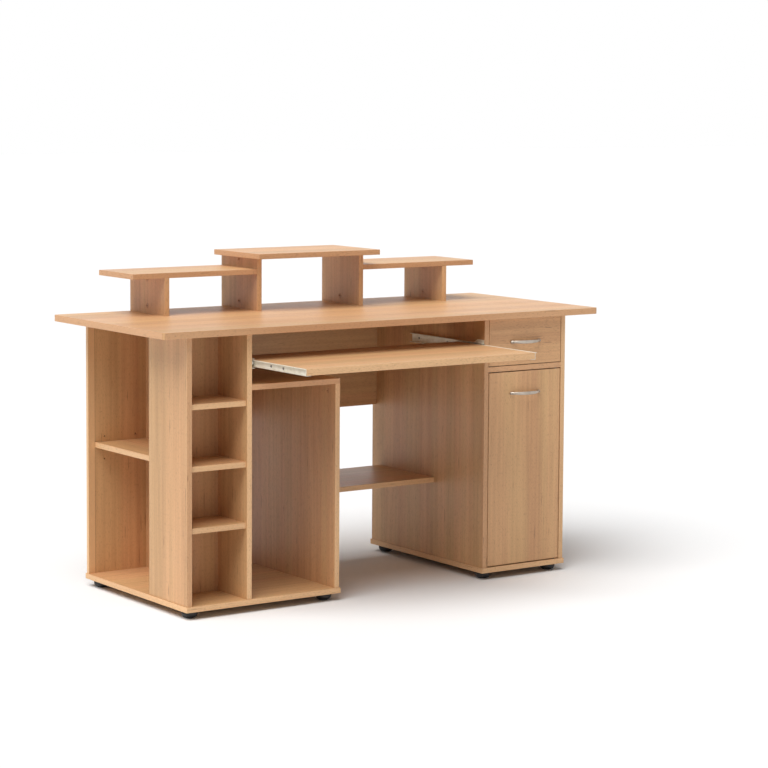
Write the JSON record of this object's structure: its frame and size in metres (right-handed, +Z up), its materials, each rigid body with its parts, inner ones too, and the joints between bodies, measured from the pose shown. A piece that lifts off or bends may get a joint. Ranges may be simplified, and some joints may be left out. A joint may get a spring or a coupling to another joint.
{
  "type": "computer desk with keyboard tray",
  "caption": "Double-pedestal computer desk with riser shelf, sliding keyboard tray, disc rack, side bookcase, drawer and cupboard.",
  "frame": {"origin": "on the floor under the middle of the whole box, with the keyboard tray drawn pulled out to -Y", "axes": "+Z up, +X to the sitter's right along the desktop's length, -Y towards the sitter"},
  "size_m": [1.46, 0.841, 0.936],
  "materials": {
    "board": "beech-effect laminate, satin",
    "coated_steel": "cream epoxy coat",
    "satin_nickel": "satin nickel",
    "zinc_plated": "zinc plate",
    "black_plastic": "matt",
    "white_plastic": "matt"
  },
  "bodies": {
    "desk": {"desktop": "board", "left_outer_panel": "board", "divider_panel": "board", "pc_side_panel": "board", "pc_roof_board": "board", "left_base_board": "board", "left_back_board": "board", "cd_rack_back": "board", "cd_shelf_upper": "board", "cd_shelf_middle": "board", "cd_shelf_lower": "board", "bookcase_shelf": "board", "modesty_panel": "board", "low_shelf": "board", "right_inner_panel": "board", "right_outer_panel": "board", "right_base_board": "board", "right_back_board": "board", "drawer_rail_board": "board", "cupboard_shelf": "board", "riser_centre_board": "board", "riser_left_shelf": "board", "riser_right_shelf": "board", "riser_upright_left_outer": "board", "riser_upright_left_inner": "board", "riser_upright_right_inner": "board", "riser_upright_right_outer": "board", "feet": "black_plastic", "foot_screws": "zinc_plated", "shelf_pins": "zinc_plated", "cam_fittings": "zinc_plated", "tray_rail_left": "coated_steel", "tray_rail_right": "coated_steel", "drawer_rail_left": "coated_steel", "drawer_rail_right": "coated_steel", "rail_screws": "zinc_plated", "door_pivots": "zinc_plated", "magnetic_catch": "white_plastic"},
    "tray": {"keyboard_tray": "board", "tray_runner_left": "coated_steel", "tray_runner_right": "coated_steel", "tray_runner_screws": "zinc_plated"},
    "drawer": {"drawer_front": "board", "drawer_side_left": "board", "drawer_side_right": "board", "drawer_back": "board", "drawer_bottom": "board", "drawer_runner_left": "coated_steel", "drawer_runner_right": "coated_steel", "drawer_runner_screws": "zinc_plated", "drawer_handle": "satin_nickel", "drawer_handle_screws": "zinc_plated"},
    "door": {"door_panel": "board", "door_handle": "satin_nickel", "door_handle_screws": "zinc_plated", "catch_strike": "zinc_plated"},
    "tray_rail_wheels": {"tray_rail_rollers": "white_plastic"},
    "tray_runner_wheels": {"tray_runner_rollers": "white_plastic"},
    "drawer_rail_wheels": {"drawer_rail_rollers": "white_plastic"},
    "drawer_runner_wheels": {"drawer_runner_rollers": "white_plastic"}
  },
  "joints": [
    {"name": "tray_slide", "type": "slide", "parent": "desk", "child": "tray", "axis": [0, -1, 0], "range_m": [-0.246, 0.014]},
    {"name": "drawer_slide", "type": "slide", "parent": "desk", "child": "drawer", "axis": [0, -1, 0], "range_m": [0, 0.345]},
    {"name": "door_hinge", "type": "hinge", "parent": "desk", "child": "door", "pos_m": [0.596, -0.167, 0.3], "axis": [0, 0, 1], "range_deg": [0, 110]},
    {"name": "tray_rail_wheel_turn", "type": "hinge", "parent": "desk", "child": "tray_rail_wheels", "pos_m": [0, -0.1635, 0.6739], "axis": [1, 0, 0], "range_deg": [-2568.7, 151.8]},
    {"name": "tray_runner_wheel_turn", "type": "hinge", "parent": "tray", "child": "tray_runner_wheels", "pos_m": [0, -0.0795, 0.6661], "axis": [1, 0, 0], "range_deg": [-2568.7, 151.8]},
    {"name": "drawer_rail_wheel_turn", "type": "hinge", "parent": "desk", "child": "drawer_rail_wheels", "pos_m": [0.477, -0.1485, 0.6359], "axis": [1, 0, 0], "range_deg": [-6, 3600]},
    {"name": "drawer_runner_wheel_turn", "type": "hinge", "parent": "drawer", "child": "drawer_runner_wheels", "pos_m": [0.477, 0.2815, 0.6281], "axis": [1, 0, 0], "range_deg": [-6, 3600]}
  ],
  "couplings": [
    {"joint": "tray_rail_wheel_turn", "follows": "tray_slide", "rad_per_m": 181.82},
    {"joint": "tray_runner_wheel_turn", "follows": "tray_slide", "rad_per_m": 181.82},
    {"joint": "drawer_rail_wheel_turn", "follows": "drawer_slide", "rad_per_m": 181.82},
    {"joint": "drawer_runner_wheel_turn", "follows": "drawer_slide", "rad_per_m": 181.82}
  ]
}
